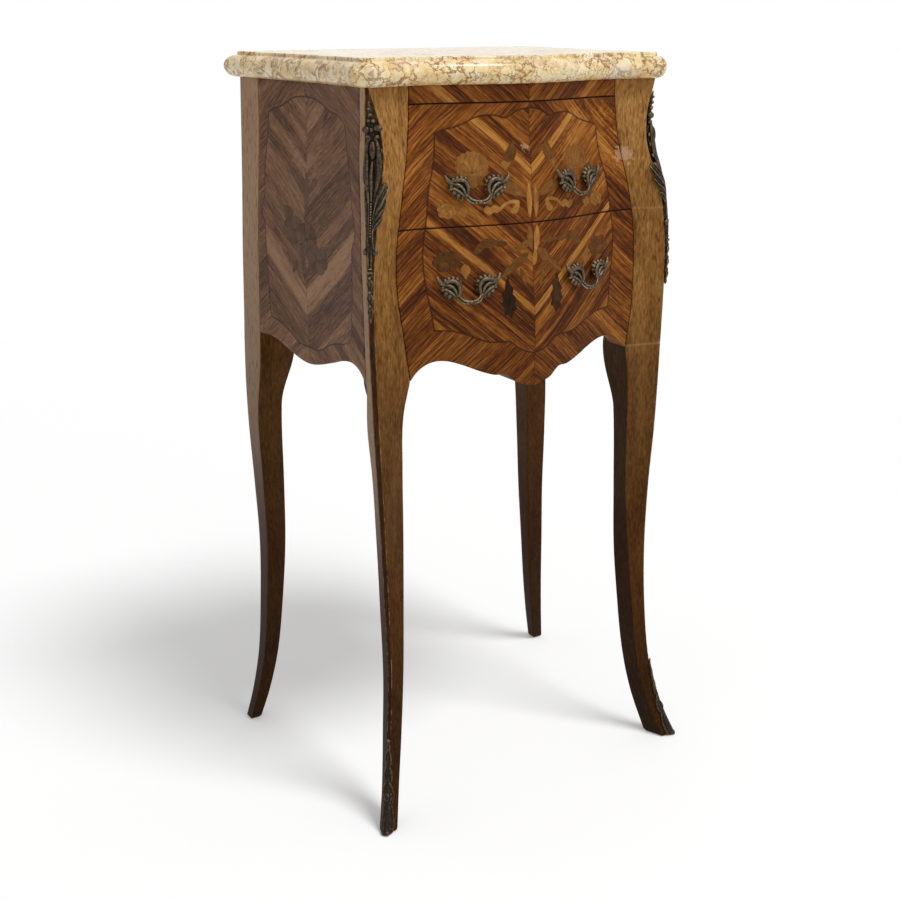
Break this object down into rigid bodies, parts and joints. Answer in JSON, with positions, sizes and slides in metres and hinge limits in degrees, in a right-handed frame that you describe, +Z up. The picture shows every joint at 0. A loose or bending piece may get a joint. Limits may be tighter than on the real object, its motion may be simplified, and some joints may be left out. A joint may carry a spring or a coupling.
{
  "type": "nightstand",
  "caption": "Bombe bedside commode on tall cabriole legs, with a moulded marble top, sliding marquetry drawers and bronze corner mounts, feet and pulls.",
  "frame": {"origin": "on the floor under the middle of the object's bounding box", "axes": "+Z up, +X to the right as the front is faced, +Y from the front to the back; the drawers pull out along -Y"},
  "size_m": [0.4068, 0.312, 0.74],
  "materials": {
    "marble": "polished cream marble with brown veins",
    "post_wood": "waxed golden-brown veneer",
    "veneer": "French-polished striped veneer with floral inlay",
    "carcass_wood": "unpolished softwood",
    "bronze": "dark patinated casting with worn highlights",
    "bolt_steel": "plain"
  },
  "bodies": {
    "carcass": {"marble_top": "marble", "front_left_post": "post_wood", "front_right_post": "post_wood", "back_left_post": "post_wood", "back_right_post": "post_wood", "left_side_panel": "veneer", "right_side_panel": "veneer", "back_panel": "carcass_wood", "top_front_rail": "veneer", "top_back_rail": "carcass_wood", "left_top_rail": "carcass_wood", "right_top_rail": "carcass_wood", "dust_board": "carcass_wood", "bottom_board": "carcass_wood", "upper_left_guide": "carcass_wood", "upper_right_guide": "carcass_wood", "lower_left_guide": "carcass_wood", "lower_right_guide": "carcass_wood", "upper_left_stop": "carcass_wood", "upper_right_stop": "carcass_wood", "lower_left_stop": "carcass_wood", "lower_right_stop": "carcass_wood", "left_chute": "bronze", "right_chute": "bronze", "left_sabot": "bronze", "right_sabot": "bronze"},
    "upper_drawer": {"upper_drawer_front": "veneer", "upper_drawer_left_side": "carcass_wood", "upper_drawer_right_side": "carcass_wood", "upper_drawer_back": "carcass_wood", "upper_drawer_bottom": "carcass_wood", "upper_left_handle": "bronze", "upper_left_handle_left_bolt": "bolt_steel", "upper_left_handle_right_bolt": "bolt_steel", "upper_right_handle": "bronze", "upper_right_handle_left_bolt": "bolt_steel", "upper_right_handle_right_bolt": "bolt_steel"},
    "lower_drawer": {"lower_drawer_front": "veneer", "lower_drawer_left_side": "carcass_wood", "lower_drawer_right_side": "carcass_wood", "lower_drawer_back": "carcass_wood", "lower_drawer_bottom": "carcass_wood", "lower_left_handle": "bronze", "lower_left_handle_left_bolt": "bolt_steel", "lower_left_handle_right_bolt": "bolt_steel", "lower_right_handle": "bronze", "lower_right_handle_left_bolt": "bolt_steel", "lower_right_handle_right_bolt": "bolt_steel"}
  },
  "joints": [
    {"name": "upper_drawer_slide", "type": "slide", "parent": "carcass", "child": "upper_drawer", "axis": [0, -1, 0], "range_m": [0, 0.15]},
    {"name": "lower_drawer_slide", "type": "slide", "parent": "carcass", "child": "lower_drawer", "axis": [0, -1, 0], "range_m": [0, 0.155]}
  ]
}
